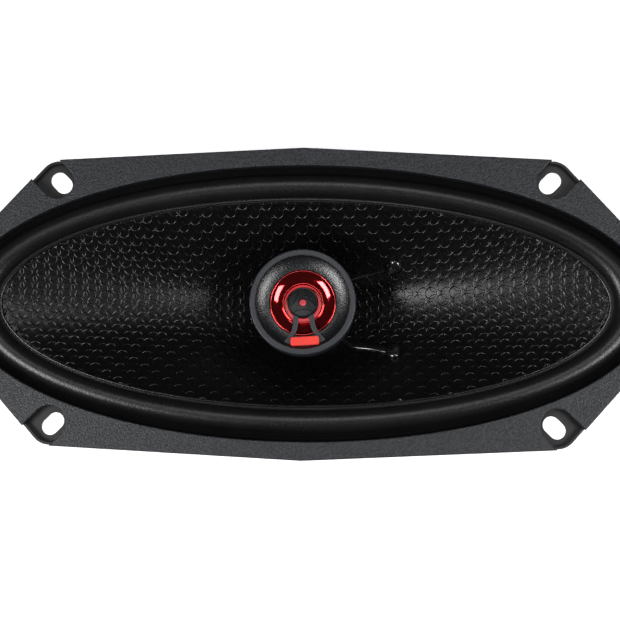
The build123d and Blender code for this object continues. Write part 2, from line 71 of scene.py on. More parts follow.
# ---- cone and its embossed lattice ----
LIP_IN = (102.5, 34.5)
CONE_LIP_OUT = (103.8, 35.6)
CONE_RIM_Z = 1.1
NECK_Z = -25.6
NECK_RADIUS = 13.1
NECK_DEPTH = 2.0
NECK_POINTS = 96
CONE_FLARE = 1.5
CONE_WALL = 0.9
LATTICE_PITCH = 4.73             # between neighbouring circles along Y
LATTICE_COLUMN = 4.10            # between columns along X
LATTICE_ORIGIN = (-4.90, 1.08)
LATTICE_PAIR = -2.73             # the second circle of each cell, along X
CIRCLE_RADIUS = 1.95
CIRCLE_STEPS = 20                # points round each of a circle's three loops
STEP_HALF_WIDTH = 0.16           # a step is a soft slope this far to each side
STEP_DEPTHS = (0.19, 0.11)       # the cells' first circles and their second ones
EYELET_X = 31.0
EYELET_Y = 14.5

# ---- surround ----
ROLL_IN = (104.2, 36.0)
ROLL_OUT = (113.6, 44.0)
FOOT_OUT = (118.9, 49.1)
FOOT_TOP = 2.0
CREST_Z = 5.5
LIP_TOP = 1.9
SHEET = 1.0
RUBBER = 0.9

# ---- spider ----
SPIDER_Z = -33.0
SPIDER_IN = 13.05
SPIDER_OUT = 37.6
SPIDER_COLLAR = 2.0              # flat widths inside and outside the waves
SPIDER_FOOT = 3.6
SPIDER_CLOTH = 0.5
SPIDER_WAVES = 4
WAVE_STEPS = 12
SPIDER_WAVE_HEIGHT = 2.2

# ---- tweeter ----
BEZEL_RADIUS = 17.9
BEZEL_TOP = 4.1
DISH_OUT = 16.0
DISH_IN = 11.4
DISH_RADIUS = 8.5                # of the dish's section, as BOWL_RADIUS is of the flare's
DISH_EDGE_Z = 2.6
FLARE_OUT = 11.2
FLARE_EDGE_Z = 0.8
BOWL_RADIUS = 7.2
PLUG_RADIUS = 5.3
PLUG_TOP = 2.3
PLUG_TURN = math.radians(3.7)    # the legs lean a little to the right
PLUG_HOLE = 1.2
CAP_HOLLOW = 0.4                 # the cap's middle is this much lower than its rim
CAP_BOTTOM = -0.6
CAP_BEVEL_RADII = (PLUG_RADIUS - 0.6, PLUG_RADIUS - 0.23, PLUG_RADIUS)
CAP_BEVEL_DROPS = (0.15, 0.45)   # a shallow bevel, then a steep one at the rim
HOLE_BEVEL = 1.45
HOLE_BEVEL_DROP = 0.2
RELIEF_DEPTH = 0.32
RELIEF_EDGE = 0.16               # width of the relief's soft edges
LOBE_RIM = 4.55
LOBE_ARC = 6.3
LOBE_CENTRE = 8.65
LOBE_AXES = (30, 150, 270)       # degrees
LEG_TOP = 1.9
LEG_THICKNESS = 0.75
FOOT_RADIUS = 15.2
BADGE_SIZE = (9.6, 2.9)
BADGE_CORNER = 0.7
BADGE_Y = -13.1
BADGE_THICKNESS = 1.0

# ---- glue on the cone ----
GLUE_DEPTH = 0.25                # the glue's edges lie this far under the cone's face
EYELET_RISE = 2.6
COIL_LEAD_ROUTE = [(12.2, 9.6), (15.8, 11.6), (19.6, 12.3), (23.5, 12.9), (27.5, 13.9), (30.0, 14.4)]

# ---- leads ----
TINSEL_DIAMETER = 1.4
LEAD_DIAMETER = 1.4
WIRE_DIAMETER = 0.9
TUBE_SIDES = 24
STRAND_RELIEF = 0.16             # share of the cord's radius that its strands stand proud
EYELET_DROP = 3.4
BOARD_ORIGIN = Vector((66.0, 0, -21.92))
BOARD_SLOPE = math.radians(24.1)
LUG_OUT = -1.4                   # lugs on the board's cone side, terminals on its rear side
TERMINAL_OUT = 2.15
TERMINAL_Y = 10.0
LEAD_X = 43.45
LEAD_LOW_Z = -74.1
SLEEVE_TOP = -50.0
CAPACITOR_X = 38.2
CAPACITOR_Z = -44.4
CAPACITOR_LENGTH = 13.0


# ================= shader helpers =================

def add(tree, kind, sockets=(), **settings):
    """A shader node; sockets are (name, value or another node's output)."""
    made = tree.nodes.new(kind)
    for name, value in settings.items():
        setattr(made, name, value)
    for name, value in sockets:
        if isinstance(value, bpy.types.NodeSocket):
            tree.links.new(value, made.inputs[name])
        else:
            made.inputs[name].default_value = value
    return made


def new_shader(name, **uniform):
    """A material with its Principled node; uniform values go straight on the sockets."""
    material = bpy.data.materials.new(name)
    material.use_nodes = True
    tree = material.node_tree
    principled = tree.nodes["Principled BSDF"]
    for socket, value in uniform.items():
        principled.inputs[socket.replace("_", " ")].default_value = value
    place = add(tree, "ShaderNodeTexCoord").outputs["Object"]
    return material, tree, principled, place


def noise(tree, place, size, detail=4.0, roughness=0.6):
    """Noise whose features are about size millimetres across."""
    made = add(tree, "ShaderNodeTexNoise", [("Vector", place), ("Scale", 1 / (size * MM)),
                                            ("Detail", detail), ("Roughness", roughness)])
    return made.outputs["Fac"]


def between(tree, amount, low, high, start=0.3, end=0.7):
    """Maps a 0 to 1 texture to a number from low to high."""
    made = add(tree, "ShaderNodeMapRange", [("Value", amount), ("From Min", start), ("From Max", end),
                                            ("To Min", low), ("To Max", high)])
    return made.outputs["Result"]


def mixed(tree, amount, first, second, start=0.3, end=0.7):
    """Blends two colours by a texture."""
    ramp = add(tree, "ShaderNodeValToRGB", [("Fac", amount)])
    ramp.color_ramp.elements[0].position = start
    ramp.color_ramp.elements[0].color = (*first, 1)
    ramp.color_ramp.elements[1].position = end
    ramp.color_ramp.elements[1].color = (*second, 1)
    return ramp.outputs["Color"]


def bumped(tree, principled, heights):
    """Adds bumps one over another; heights are (texture, depth in millimetres)."""
    normal = None
    for texture, depth in heights:
        sockets = [("Height", texture), ("Distance", depth * MM), ("Strength", 1.0)]
        if normal is not None:
            sockets.append(("Normal", normal))
        normal = add(tree, "ShaderNodeBump", sockets).outputs["Normal"]
    tree.links.new(normal, principled.inputs["Normal"])


def surface(name, colours, roughness, grain, patch=9.0, **uniform):
    """Two close colours in soft patches, uneven gloss and one grain of (size, depth)."""
    material, tree, principled, place = new_shader(name, **uniform)
    patches = noise(tree, place, patch)
    tree.links.new(mixed(tree, patches, *colours), principled.inputs["Base Color"])
    fine = noise(tree, place, grain[0])
    tree.links.new(between(tree, fine, *roughness), principled.inputs["Roughness"])
    bumped(tree, principled, [(fine, grain[1])])
    return material


# ================= materials =================

def trim_plastic():
    """Dark plastic with a coarse spark-eroded grain that sparkles."""
    material, tree, principled, place = new_shader("trim_plastic", Specular_IOR_Level=0.55)
    grain = noise(tree, place, 0.62, detail=2.0)
    fine = noise(tree, place, 0.25, detail=2.0)
    colour = mixed(tree, grain, (0.005, 0.0055, 0.007), (0.032, 0.035, 0.042), 0.38, 0.64)
    tree.links.new(colour, principled.inputs["Base Color"])
    tree.links.new(between(tree, fine, 0.3, 0.55), principled.inputs["Roughness"])
    bumped(tree, principled, [(grain, 0.22), (fine, 0.06)])
    return material


def cone_plastic():
    """Injection-moulded black plastic, satin, with a very fine skin."""
    return surface("cone_plastic", [(0.0012, 0.0012, 0.0014), (0.0022, 0.0022, 0.0025)],
                   (0.25, 0.32), (0.45, 0.004), patch=14.0, Specular_IOR_Level=0.55)


def surround_rubber():
    """Satin butyl rubber with a fine leathery skin."""
    material, tree, principled, place = new_shader("surround_rubber", Specular_IOR_Level=0.6)
    skin = noise(tree, place, 0.55, detail=3.0)
    patches = noise(tree, place, 18.0)
    colour = mixed(tree, patches, (0.004, 0.004, 0.0045), (0.008, 0.008, 0.009))
    tree.links.new(colour, principled.inputs["Base Color"])
    tree.links.new(between(tree, skin, 0.26, 0.42), principled.inputs["Roughness"])
    bumped(tree, principled, [(skin, 0.06)])
    return material


def bezel_plastic(name, colours, roughness, grain_size=0.3, grain_depth=0.06, gloss=0.6):
    """Grey tweeter plastic with a fine sparkling grain."""
    material, tree, principled, place = new_shader(name, Specular_IOR_Level=gloss)
    grain = noise(tree, place, grain_size, detail=2.0)
    tree.links.new(mixed(tree, grain, *colours), principled.inputs["Base Color"])
    tree.links.new(between(tree, grain, *roughness), principled.inputs["Roughness"])
    bumped(tree, principled, [(grain, grain_depth)])
    return material


def red_chrome():
    """Red lacquer over vacuum-plated plastic."""
    material, tree, principled, place = new_shader(
        "red_chrome", Metallic=0.97, Coat_Weight=1.0, Coat_Roughness=0.05, Coat_IOR=1.6)
    patches = noise(tree, place, 2.5)
    colour = mixed(tree, patches, (0.62, 0.010, 0.014), (0.74, 0.014, 0.018))
    tree.links.new(colour, principled.inputs["Base Color"])
    tree.links.new(between(tree, patches, 0.07, 0.11), principled.inputs["Roughness"])
    bumped(tree, principled, [(patches, 0.004)])
    return material


def spider_cloth():
    """Resin-stiffened cotton: two crossed thread directions over the corrugations."""
    material, tree, principled, place = new_shader("spider_cloth", Sheen_Weight=0.3)
    heights = []
    for axis in ("X", "Y"):
        wave = add(tree, "ShaderNodeTexWave", [("Vector", place), ("Scale", 1 / (6.5 * MM)),
                                               ("Distortion", 0.4), ("Detail", 1.0)],
                   bands_direction=axis)
        heights.append(wave.outputs["Fac"])
    weave = add(tree, "ShaderNodeMath", [(0, heights[0]), (1, heights[1])], operation="MULTIPLY")
    colour = mixed(tree, weave.outputs["Value"], (0.22, 0.12, 0.035), (0.62, 0.42, 0.17), 0.05, 0.6)
    tree.links.new(colour, principled.inputs["Base Color"])
    tree.links.new(between(tree, noise(tree, place, 4.0), 0.7, 0.9), principled.inputs["Roughness"])
    bumped(tree, principled, [(weave.outputs["Value"], 0.12)])
    return material


def tinsel_braid():
    """Bright copper tinsel woven round a cotton core."""
    material, tree, principled, place = new_shader("tinsel_braid", Metallic=0.8)
    plait = add(tree, "ShaderNodeTexWave", [("Vector", place), ("Scale", 1 / (5.0 * MM)),
                                            ("Distortion", 1.2)], bands_direction="DIAGONAL")
    colour = mixed(tree, plait.outputs["Fac"], (0.35, 0.17, 0.08), (0.85, 0.55, 0.33))
    tree.links.new(colour, principled.inputs["Base Color"])
    tree.links.new(between(tree, noise(tree, place, 0.3), 0.3, 0.5), principled.inputs["Roughness"])
    bumped(tree, principled, [(plait.outputs["Fac"], 0.06)])
    return material


def make_materials():
    """One material for each of the record's slots, and a few that only scene.py uses."""
    grey_pair = [(0.022, 0.025, 0.032), (0.034, 0.038, 0.047)]
    return {
        "black_steel": surface("black_steel", [(0.012, 0.012, 0.013), (0.022, 0.022, 0.024)],
                               (0.34, 0.5), (0.5, 0.02), Specular_IOR_Level=0.5),
        "textured_plastic": trim_plastic(),
        "butyl_rubber": surround_rubber(),
        "cone_plastic": cone_plastic(),
        "former_aluminium": surface("former_aluminium", [(0.62, 0.62, 0.63), (0.76, 0.76, 0.78)],
                                    (0.25, 0.4), (0.8, 0.01), Metallic=1.0),
        "copper_wire": surface("copper_wire", [(0.50, 0.20, 0.08), (0.72, 0.35, 0.16)],
                               (0.25, 0.4), (0.25, 0.04), Metallic=1.0),
        "spider_cloth": spider_cloth(),
        "plated_steel": surface("plated_steel", [(0.48, 0.49, 0.50), (0.62, 0.63, 0.64)],
                                (0.22, 0.38), (0.6, 0.01), Metallic=1.0),
        "ferrite": surface("ferrite", [(0.030, 0.030, 0.033), (0.055, 0.055, 0.060)],
                           (0.5, 0.7), (0.35, 0.05)),
        "boot_rubber": surface("boot_rubber", [(0.010, 0.010, 0.011), (0.017, 0.017, 0.018)],
                               (0.5, 0.68), (0.4, 0.03)),
        "post_plastic": surface("post_plastic", [(0.016, 0.016, 0.018), (0.026, 0.026, 0.029)],
                                (0.45, 0.6), (0.4, 0.03)),
        "bezel_plastic": bezel_plastic("bezel_plastic", grey_pair, (0.3, 0.5)),
        "red_chrome": red_chrome(),
        "plug_plastic": bezel_plastic("plug_plastic",
                                      [(0.0026, 0.0029, 0.0036), (0.007, 0.008, 0.0095)],
                                      (0.2, 0.32), grain_depth=0.03, gloss=0.35),
        # The dish is the bezel's own plastic with a glossier finish; its much darker colour is painted
        # shade, so that it reads darker than the flat rim.
        "dish_plastic_painted_shade": bezel_plastic("dish_plastic_painted_shade", [(0.002, 0.0022, 0.003), (0.009, 0.010, 0.012)],
                                      (0.24, 0.36), grain_size=0.42, grain_depth=0.09, gloss=1.0),
        # Near-black, almost unreflective copy of the surround's rubber: painted shade for the dark recess
        # between the roll and the trim.
        "foot_rubber_painted_shade": surface("foot_rubber_painted_shade", [(0.0012, 0.0012, 0.0012), (0.0022, 0.0022, 0.0022)],
                               (0.8, 0.95), (0.5, 0.02), Specular_IOR_Level=0.08),
        # The badge's red emission is painted light: a glow that brightens the bar beyond what the lamps
        # give it.
        "badge_plastic": surface("badge_plastic", [(0.72, 0.035, 0.022), (0.80, 0.048, 0.032)],
                                 (0.35, 0.45), (0.3, 0.01), Emission_Color=(0.8, 0.04, 0.03, 1.0),
                                 Emission_Strength=0.25),
        "neodymium": surface("neodymium", [(0.5, 0.5, 0.51), (0.62, 0.62, 0.63)],
                             (0.2, 0.3), (0.5, 0.01), Metallic=1.0),
        # The film's red emission is a painted highlight, for the bright dot seen through the plug's hole.
        "dome_film": surface("dome_film", [(0.80, 0.09, 0.11), (0.88, 0.13, 0.15)],
                             (0.16, 0.24), (0.6, 0.005), Coat_Weight=0.5,
                             Emission_Color=(0.9, 0.12, 0.14, 1.0), Emission_Strength=0.6),
        "phenolic_board": surface("phenolic_board", [(0.16, 0.07, 0.025), (0.25, 0.12, 0.045)],
                                  (0.45, 0.6), (0.3, 0.02), patch=2.5),
        "tinned_brass": surface("tinned_brass", [(0.60, 0.57, 0.50), (0.70, 0.67, 0.60)],
                                (0.22, 0.36), (0.5, 0.01), Metallic=1.0),
        "tinsel_braid": tinsel_braid(),
        "black_glue": surface("black_glue", [(0.004, 0.004, 0.004), (0.008, 0.008, 0.009)],
                              (0.17, 0.24), (2.4, 0.01), Specular_IOR_Level=1.0,
                              Coat_Weight=1.0, Coat_Roughness=0.08),
        "capacitor_sleeve": surface("capacitor_sleeve", [(0.02, 0.05, 0.17), (0.03, 0.07, 0.22)],
                                    (0.25, 0.38), (0.8, 0.01)),
        "tinned_wire": surface("tinned_wire", [(0.55, 0.55, 0.54), (0.66, 0.66, 0.65)],
                               (0.25, 0.4), (0.4, 0.01), Metallic=1.0),
        "wire_insulation": surface("wire_insulation", [(0.014, 0.014, 0.015), (0.024, 0.024, 0.026)],
                                   (0.35, 0.5), (0.4, 0.02)),
    }


def dress_cad_nodes(materials):
    """Gives each carried-over CAD node the material of its slot in the record."""
    slots = {part["node"]: part["material_slot"] for part in frame["record"]["subparts"]}
    for name, node in frame["nodes"].items():
        node.data.materials.clear()
        node.data.materials.append(materials[slots[name]])


# ================= mesh helpers =================

def mesh_piece(name, points, faces, slot_name):
    """A closed mesh from points in millimetres, dressed from its record slot."""
    mesh = bpy.data.meshes.new(name)
    mesh.from_pydata([Vector(point) * MM for point in points], [], faces)
    work = bmesh.new()
    work.from_mesh(mesh)
    bmesh.ops.remove_doubles(work, verts=work.verts, dist=0.002 * MM)
    bmesh.ops.recalc_face_normals(work, faces=work.faces)
    work.to_mesh(mesh)
    work.free()
    mesh.shade_smooth()
    mesh.set_sharp_from_angle(angle=CREASE)
    made = bpy.data.objects.new(name, mesh)
    bpy.context.scene.collection.objects.link(made)
    mesh.materials.append(MATERIALS[slot_name])
    return made


def finish_where(piece, slot_name, chosen):
    """A second material on the same moulding, on the faces whose centre (x, y, z) is chosen; here it gives
    part of a piece a darker copy of its material, painted shade.
    """
    piece.data.materials.append(MATERIALS[slot_name])
    for face in piece.data.polygons:
        if chosen(face.center / MM):
            face.material_index = 1


def ellipse_loop(semi_axes, z, count=AROUND):
    angles = [2 * math.pi * step / count for step in range(count)]
    return [(semi_axes[0] * math.cos(a), semi_axes[1] * math.sin(a), z) for a in angles]


def joined_loops(loops):
    """Faces between loops of equal length, the last joined back to the first."""
    count = len(loops[0])
    points = [point for loop in loops for point in loop]
    faces = []
    for row in range(len(loops)):
        low = row * count
        high = (row + 1) % len(loops) * count
        for step in range(count):
            after = (step + 1) % count
            faces.append((low + step, low + after, high + after, high + step))
    return points, faces


def lathe(name, profile, slot_name, count=96):
    """A closed half section of (radius, z) points turned about Z."""
    loops = [ellipse_loop((radius, radius), z, count) for radius, z in profile]
    return mesh_piece(name, *joined_loops(loops), slot_name)


def arc(centre, radius, first, last, steps):
    """Points (across, up) along an arc; angles in degrees, radius a number or a pair."""
    wide, tall = radius if isinstance(radius, tuple) else (radius, radius)
    angles = [math.radians(first + (last - first) * step / steps) for step in range(steps + 1)]
    return [(centre[0] + wide * math.cos(a), centre[1] + tall * math.sin(a)) for a in angles]


def plan_triangles(loops, inside):
    """Triangles in plan between closed loops of (x, y), kept where inside(x, y) holds."""
    corners, edges = [], []
    for loop in loops:
        first = len(corners)
        corners += [Vector(point) for point in loop]
        edges += [(first + step, first + (step + 1) % len(loop)) for step in range(len(loop))]
    same_point = 1e-4
    points, _edges, faces = delaunay_2d_cdt(corners, edges, [], 0, same_point)[:3]
    plan = np.array([tuple(point) for point in points])
    triangles = np.array(faces)
    middles = plan[triangles].mean(axis=1)
    return plan, triangles[inside(middles[:, 0], middles[:, 1])]


def border_edges(triangles):
    """Directed edges that only one triangle has."""
    directed = np.concatenate([triangles[:, [0, 1]], triangles[:, [1, 2]], triangles[:, [2, 0]]])
    seen = {tuple(edge) for edge in directed.tolist()}
    return [edge for edge in seen if (edge[1], edge[0]) not in seen]


def thick_plan(plan, triangles, top, bottom):
    """Closes a plan mesh: top and bottom heights for each point, walls along its borders."""
    count = len(plan)
    points = [(x, y, z) for (x, y), z in zip(plan, top)]
    points += [(x, y, z) for (x, y), z in zip(plan, bottom)]
    faces = [tuple(face) for face in triangles.tolist()]
    faces += [tuple(corner + count for corner in reversed(face)) for face in triangles.tolist()]
    faces += [(b, a, a + count, b + count) for a, b in border_edges(triangles)]
    return points, faces


def turned(points, angle):
    cos, sin = math.cos(angle), math.sin(angle)
    return [(x * cos - y * sin, x * sin + y * cos) for x, y in points]


def smooth_line(name, points):
    """A NURBS curve whose control points are the route's points, in millimetres."""
    data = bpy.data.curves.new(name, "CURVE")
    data.dimensions = "3D"
    data.resolution_u = 12
    spline = data.splines.new("NURBS")
    spline.points.add(len(points) - 1)
    for control, point in zip(spline.points, points):
        control.co = (*(Vector(point) * MM), 1.0)
    spline.order_u = 3
    spline.use_endpoint_u = True
    made = bpy.data.objects.new(name, data)
    bpy.context.scene.collection.objects.link(made)
    return made


def line_points(curve):
    """Points along a curve's own smooth line, in metres; the curve itself is removed."""
    plain = bpy.data.meshes.new_from_object(curve)
    points = [vertex.co.copy() for vertex in plain.vertices]
    bpy.data.meshes.remove(plain)
    bpy.data.curves.remove(curve.data)
    return points


# ================= cone =================

def cone_height(x, y):
    """Height of the cone's smooth front face over arrays of plan points."""
    low = np.zeros_like(x)
    high = np.ones_like(x)
    for _ in range(40):
        station = (low + high) / 2
        long_axis = NECK_RADIUS + (LIP_IN[0] - NECK_RADIUS) * station
        short_axis = NECK_RADIUS + (LIP_IN[1] - NECK_RADIUS) * station ** CONE_FLARE
        outside = (x / long_axis) ** 2 + (y / short_axis) ** 2 > 1
        low = np.where(outside, station, low)
        high = np.where(outside, high, station)
    return NECK_Z + (CONE_RIM_Z - NECK_Z) * (low + high) / 2


def face_height(x, y):
    return float(cone_height(np.array(x), np.array(y)))


def from_nearest_circle(x, y, shift):
    """Offset of each point from the nearest circle centre of the shifted lattice."""
    far_off = 1e3
    best_across, best_along = np.full_like(x, far_off), np.full_like(x, far_off)
    for column, row in [(0.0, 0.0), (LATTICE_COLUMN, LATTICE_PITCH / 2)]:
        across = x - LATTICE_ORIGIN[0] - shift - column
        along = y - LATTICE_ORIGIN[1] - row
        across -= np.round(across / (2 * LATTICE_COLUMN)) * 2 * LATTICE_COLUMN
        along -= np.round(along / LATTICE_PITCH) * LATTICE_PITCH
        nearer = np.hypot(across, along) < np.hypot(best_across, best_along)
        best_across = np.where(nearer, across, best_across)
        best_along = np.where(nearer, along, best_along)
    return best_across, best_along


def emboss(x, y):
    """Depth of the two families of overlapping discs, and the slope of their soft steps."""
    depth, slope_x, slope_y = np.zeros_like(x), np.zeros_like(x), np.zeros_like(x)
    for shift, step in zip((0.0, LATTICE_PAIR), STEP_DEPTHS):
        across, along = from_nearest_circle(x, y, shift)
        distance = np.maximum(np.hypot(across, along), 1e-6)
        past = np.clip((CIRCLE_RADIUS + STEP_HALF_WIDTH - distance) / (2 * STEP_HALF_WIDTH), 0, 1)
        depth += step * past * past * (3 - 2 * past)
        fall = step * 6 * past * (1 - past) / (2 * STEP_HALF_WIDTH)
        slope_x += fall * across / distance
        slope_y += fall * along / distance
    return depth, slope_x, slope_y


def face_normals(x, y, embossed):
    """Unit normals of the cone's face, with (1) or without (0) its steps."""
    apart = 0.05
    slope_x = (cone_height(x + apart, y) - cone_height(x - apart, y)) / (2 * apart)
    slope_y = (cone_height(x, y + apart) - cone_height(x, y - apart)) / (2 * apart)
    _depth, step_x, step_y = emboss(x, y)
    across, along = slope_x + embossed * step_x, slope_y + embossed * step_y
    normals = np.stack([-across, -along, np.ones_like(x)], axis=1)
    return normals / np.linalg.norm(normals, axis=1)[:, None]


def circle_centres():
    """Centres of every embossed circle that reaches the cone's face."""
    columns = int(LIP_IN[0] / LATTICE_COLUMN) + 2
    rows = int(LIP_IN[1] / LATTICE_PITCH) + 2
    for column in range(-columns, columns + 1):
        for row in range(-rows, rows + 1):
            for shift in (0.0, LATTICE_PAIR):
                x = LATTICE_ORIGIN[0] + shift + column * LATTICE_COLUMN
                y = LATTICE_ORIGIN[1] + (row + column % 2 / 2) * LATTICE_PITCH
                near_rim = (x / (LIP_IN[0] + 1)) ** 2 + (y / (LIP_IN[1] + 1)) ** 2 < 1
                if near_rim and math.hypot(x, y) > NECK_RADIUS - 1:
                    yield x, y


def set_face_normals(cone):
    """Gives the soft steps their true curve: normals worked out from the face's slopes."""
    x, y = plan_of(cone)
    height = np.array([vertex.co.z for vertex in cone.data.vertices]) / MM
    front = height > cone_height(x, y) - 0.7 * CONE_WALL
    normals = np.where(front[:, None], face_normals(x, y, 1.0), -face_normals(x, y, 0.0))
    cone.data.normals_split_custom_set_from_vertices([tuple(normal) for normal in normals])


def make_cone():
    """The cone, its face cut along every embossed circle so that the steps are real."""
    loops = []
    for x, y in circle_centres():
        for offset in (-STEP_HALF_WIDTH, 0.0, STEP_HALF_WIDTH):
            radius = CIRCLE_RADIUS + offset
            circle = ellipse_loop((radius, radius), 0, CIRCLE_STEPS)
            loops.append([(x + dx, y + dy) for dx, dy, _z in circle])
    for axes, count in [(CONE_LIP_OUT, AROUND), (LIP_IN, AROUND), ((NECK_RADIUS,) * 2, NECK_POINTS)]:
        loops.append([(x, y) for x, y, _z in ellipse_loop(axes, 0, count)])

    def inside(x, y):
        within = (x / CONE_LIP_OUT[0]) ** 2 + (y / CONE_LIP_OUT[1]) ** 2 < 1
        return within & (np.hypot(x, y) > NECK_RADIUS)

    plan, triangles = plan_triangles(loops, inside)
    smooth = cone_height(plan[:, 0], plan[:, 1])
    top = smooth - emboss(plan[:, 0], plan[:, 1])[0]
    neck_edge = NECK_RADIUS + 0.4
    at_neck = np.hypot(plan[:, 0], plan[:, 1]) < neck_edge
    bottom = smooth - CONE_WALL - np.where(at_neck, NECK_DEPTH - CONE_WALL, 0)
    cone = mesh_piece("cone_embossed", *thick_plan(plan, triangles, top, bottom), "cone_plastic")
    set_face_normals(cone)
    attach(cone, "cone_assembly")
    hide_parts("cone")


def plan_of(piece):
    """The mesh's points in plan, in millimetres."""
    points = np.array([vertex.co for vertex in piece.data.vertices]) / MM
    return points[:, 0], points[:, 1]


# ================= surround and spider =================

def across_roll(share):
    return tuple(start + (end - start) * share for start, end in zip(ROLL_IN, ROLL_OUT))


def uneven_lip(angle):
    """The trimmed edge of the rubber wanders a little round the cone, in millimetres."""
    wander = 0.09 * math.sin(23 * angle + 1) + 0.07 * math.sin(57 * angle + 2)
    return wander + 0.06 * math.sin(91 * angle)


def make_surround():
    """Rubber half roll with its inner lip on the cone and its foot on the basket."""
    base, steps = FOOT_TOP - 0.5, 28
    roll = arc((0.5, base), (0.5, CREST_Z - base), 180, 0, steps)
    under = arc((0.5, base - RUBBER), (0.4, CREST_Z - base), 0, 180, steps)
    lip = [(0.0, CONE_RIM_Z), (0.0, LIP_TOP - 0.4), (0.12, LIP_TOP - 0.12), (0.35, LIP_TOP)]
    lip += [(0.6, LIP_TOP - 0.05), (0.9, base + 0.05)]
    outline = [((LIP_IN[0] + inset, LIP_IN[1] + inset), z) for inset, z in lip]
    wandering = len(lip) - 1
    outline += [(across_roll(share), z) for share, z in roll]
    outline += [((ROLL_OUT[0] + 0.8, ROLL_OUT[1] + 0.8), base + 0.1)]
    outline += [((ROLL_OUT[0] + 1.4, ROLL_OUT[1] + 1.4), FOOT_TOP)]
    outline += [((FOOT_OUT[0] - 0.3, FOOT_OUT[1] - 0.3), FOOT_TOP), (FOOT_OUT, FOOT_TOP - 0.3)]
    outline += [(FOOT_OUT, SHEET), (across_roll(1.0), SHEET)]
    outline += [(across_roll(share), z) for share, z in under]
    outline += [(across_roll(0.0), CONE_RIM_Z)]
    loops = [ellipse_loop(axes, z) for axes, z in outline]
    for row in range(wandering):
        for step, (x, y, z) in enumerate(loops[row]):
            angle = 2 * math.pi * step / AROUND
            shift = uneven_lip(angle) * (wandering - row) / wandering
            loops[row][step] = (x + shift * math.cos(angle), y + shift * math.sin(angle), z)
    surround = mesh_piece("surround_roll", *joined_loops(loops), "butyl_rubber")
    # The flat foot beyond the roll, in the recess by the trim, gets the near-black matte rubber: painted
    # shade.
    finish_where(surround, "foot_rubber_painted_shade",
                 lambda place: math.hypot(place.x / ROLL_OUT[0], place.y / ROLL_OUT[1]) > 1.002)
    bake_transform(surround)
    x, y = plan_of(surround)
    inner = np.hypot(x / ROLL_IN[0], y / ROLL_IN[1]) - 1
    outer = 1 - np.hypot(x / ROLL_OUT[0], y / ROLL_OUT[1])
    share = np.clip(inner / np.maximum(inner + outer, 1e-6), 0, 1)
    share = np.where(outer <= 0, 1.0, share)
    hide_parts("surround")


def make_spider():
    """Corrugated cloth disc with rounded waves between its collar and its flat foot."""
    first, last = SPIDER_IN + SPIDER_COLLAR, SPIDER_OUT - SPIDER_FOOT
    steps = SPIDER_WAVES * WAVE_STEPS
    line = [(SPIDER_IN, SPIDER_Z)]
    for step in range(steps + 1):
        share = step / steps
        swell = min(1.0, 6 * share, 6 * (1 - share))
        wave = SPIDER_WAVE_HEIGHT / 2 * swell * math.sin(2 * math.pi * SPIDER_WAVES * share)
        line.append((first + (last - first) * share, SPIDER_Z + wave))
    line.append((SPIDER_OUT, SPIDER_Z))
    profile = line + [(radius, z + SPIDER_CLOTH) for radius, z in reversed(line)]
    spider = lathe("spider_disc", profile, "spider_cloth", count=144)
    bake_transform(spider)
    x, y = plan_of(spider)
    share = np.clip((np.hypot(x, y) - first) / (last - first), 0, 1)
    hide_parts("spider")


# ================= tweeter =================

def hollow(edge, radius, steepest, flattest, steps):
    """Section of a bowl from its outer edge inwards; its slopes are in degrees."""
    slope = math.radians(steepest)
    centre = (edge[0] - radius * math.sin(slope), edge[1] + radius * math.cos(slope))
    return arc(centre, radius, steepest - 90, flattest - 90, steps)


def make_bezel():
    """Grained ring, flat at the rim, with a fine groove and a concave dish."""
    bottom, corner, groove = -1.0, 0.5, 0.3
    wall_in = BEZEL_RADIUS - 1.2
    profile = [(BEZEL_RADIUS, bottom), (BEZEL_RADIUS, BEZEL_TOP - corner)]
    profile += arc((BEZEL_RADIUS - corner, BEZEL_TOP - corner), corner, 15, 90, 5)
    profile += [(DISH_OUT + 0.12, BEZEL_TOP), (DISH_OUT + 0.04, BEZEL_TOP - groove)]
    profile += [(DISH_OUT - 0.1, BEZEL_TOP - groove), (DISH_OUT - 0.2, BEZEL_TOP - 0.12)]
    profile += hollow((DISH_OUT - 0.3, DISH_EDGE_Z), DISH_RADIUS, 40, 8, 16)
    profile += [(DISH_IN, -0.6), (14.2, 0.3), (wall_in, DISH_EDGE_Z), (wall_in, bottom)]
    bezel = lathe("bezel_dish", profile, "bezel_plastic", count=160)
    # The dish faces get the darker, glossier copy: the gloss is the finish, the darker colour is painted
    # shade.
    finish_where(bezel, "dish_plastic_painted_shade", lambda place: place.xy.length < DISH_OUT)
    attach(bezel, "root")
    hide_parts("tweeter_bezel")


def make_flare():
    """Polished horn with a thin rolled edge and a raised inner lip."""
    bottom, shelf, edge = -5.0, -4.2, 0.3
    profile = [(FLARE_OUT, bottom), (FLARE_OUT, FLARE_EDGE_Z)]
    profile += arc((FLARE_OUT - edge, FLARE_EDGE_Z), edge, 20, 160, 6)
    profile += hollow((FLARE_OUT - 2 * edge, FLARE_EDGE_Z + 0.05), BOWL_RADIUS, 38, 10, 18)
    lip_z = profile[-1][1] - 0.15
    profile += arc((6.75, lip_z), (0.5, 0.6), 0, 180, 10)
    profile += [(6.2, lip_z - 0.3), (6.15, shelf), (7.9, shelf), (7.9, bottom)]
    flare = lathe("flare_horn", profile, "red_chrome", count=160)
    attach(flare, "root")
    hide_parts("tweeter_flare")


